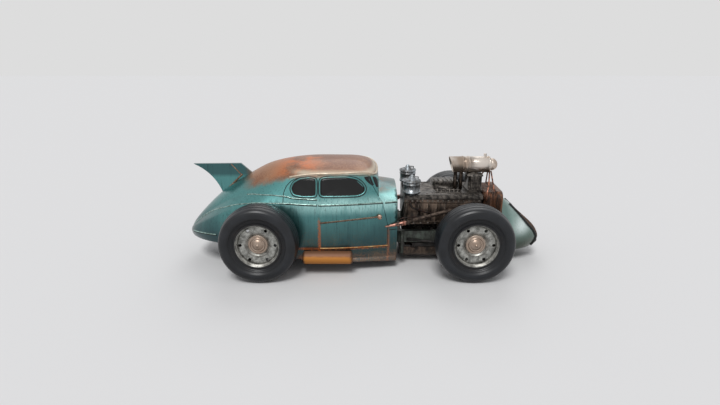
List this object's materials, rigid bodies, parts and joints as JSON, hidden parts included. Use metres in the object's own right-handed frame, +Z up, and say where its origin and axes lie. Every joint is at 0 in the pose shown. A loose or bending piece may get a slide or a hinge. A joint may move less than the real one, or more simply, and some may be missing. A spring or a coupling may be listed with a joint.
{
  "type": "fastback hot rod car",
  "caption": "Streamlined chopped fastback hot rod with tail fin, open engine, wide balloon tyres, rear-hinged doors and working steering.",
  "frame": {"origin": "on the ground in the centre plane, midway between tail and nose", "axes": "+X towards the nose, +Y to the car's left side, +Z up"},
  "size_m": [4.108, 1.7508, 1.2259],
  "materials": {
    "black": "satin",
    "blue_grey": "worn",
    "brown_steel": "oxidised",
    "copper": "dull copper",
    "dark_iron": "oily",
    "glass": "dark tinted",
    "grey_green": "worn",
    "leather": "worn",
    "rust": "rusted paint",
    "steel": "weathered",
    "teal": "weathered metallic",
    "tyre": "satin"
  },
  "bodies": {
    "root": {"front_axle": "dark_iron", "rear_axle": "dark_iron", "front_frame": "grey_green", "rear_frame": "grey_green", "roof_panel": "rust", "cowl_panel": "teal", "quarter_left": "teal", "quarter_right": "teal", "tail_shell": "teal", "cabin_floor": "black", "seat_cushion": "leather", "seat_back": "leather", "dashboard": "black", "steering_column": "black", "quarter_glass": "glass", "windscreen": "glass", "tail_fin": "teal", "mufflers": "rust", "engine_block": "dark_iron", "engine_top": "dark_iron", "engine_sides": "brown_steel", "blower": "dark_iron", "induction_tube": "steel", "tube_legs": "brown_steel", "canisters": "blue_grey", "radiator": "brown_steel", "nose_shell": "teal", "grille_rim": "black", "grille_bars": "brown_steel", "belly_pan": "brown_steel", "braces": "brown_steel", "radius_rods": "black", "side_pipes": "dark_iron", "fuel_tank": "dark_iron", "engine_lines": "copper"},
    "door_left": {"door_left": "teal", "door_glass_left": "glass", "spear_left": "copper"},
    "door_right": {"door_right": "teal", "door_glass_right": "glass", "spear_right": "copper"},
    "knuckle_left": {"knuckle_left": "dark_iron"},
    "knuckle_right": {"knuckle_right": "dark_iron"},
    "tie_rod": {"tie_rod": "black"},
    "steering_wheel": {"steering_wheel": "black"},
    "wheel_front_left": {"tyre_front_left": "tyre", "wheel_front_left": "steel"},
    "wheel_front_right": {"tyre_front_right": "tyre", "wheel_front_right": "steel"},
    "wheel_rear_left": {"tyre_rear_left": "tyre", "wheel_rear_left": "steel"},
    "wheel_rear_right": {"tyre_rear_right": "tyre", "wheel_rear_right": "steel"}
  },
  "joints": [
    {"name": "door_left_swing", "type": "hinge", "parent": "root", "child": "door_left", "pos_m": [-0.512, 0.604, 0.6], "axis": [0, 0, 1], "range_deg": [0, 65]},
    {"name": "door_right_swing", "type": "hinge", "parent": "root", "child": "door_right", "pos_m": [-0.512, -0.604, 0.6], "axis": [0, 0, -1], "range_deg": [0, 65]},
    {"name": "steer_left", "type": "hinge", "parent": "root", "child": "knuckle_left", "pos_m": [1.152, 0.5945, 0.42], "axis": [0, 0, 1], "range_deg": [-20, 20]},
    {"name": "steer_right", "type": "hinge", "parent": "root", "child": "knuckle_right", "pos_m": [1.152, -0.5945, 0.42], "axis": [0, 0, 1], "range_deg": [-20, 20]},
    {"name": "tie_rod_slide", "type": "slide", "parent": "root", "child": "tie_rod", "axis": [0, 1, 0], "range_m": [-0.06, 0.06]},
    {"name": "steering_wheel_turn", "type": "hinge", "parent": "root", "child": "steering_wheel", "pos_m": [-0.13, 0.24, 0.8], "axis": [-0.8829, 0, 0.4695], "range_deg": [-240, 240]},
    {"name": "spin_front_left", "type": "hinge", "parent": "knuckle_left", "child": "wheel_front_left", "pos_m": [1.152, 0.7265, 0.42], "axis": [0, 1, 0], "continuous": true},
    {"name": "spin_front_right", "type": "hinge", "parent": "knuckle_right", "child": "wheel_front_right", "pos_m": [1.152, -0.7265, 0.42], "axis": [0, 1, 0], "continuous": true},
    {"name": "spin_rear_left", "type": "hinge", "parent": "root", "child": "wheel_rear_left", "pos_m": [-1.127, 0.7265, 0.42], "axis": [0, 1, 0], "continuous": true},
    {"name": "spin_rear_right", "type": "hinge", "parent": "root", "child": "wheel_rear_right", "pos_m": [-1.127, -0.7265, 0.42], "axis": [0, 1, 0], "continuous": true}
  ],
  "couplings": [
    {"joint": "steer_right", "follows": "steer_left", "ratio": 1},
    {"joint": "tie_rod_slide", "follows": "steer_left", "m_per_rad": -0.1682},
    {"joint": "steering_wheel_turn", "follows": "steer_left", "ratio": 12}
  ]
}
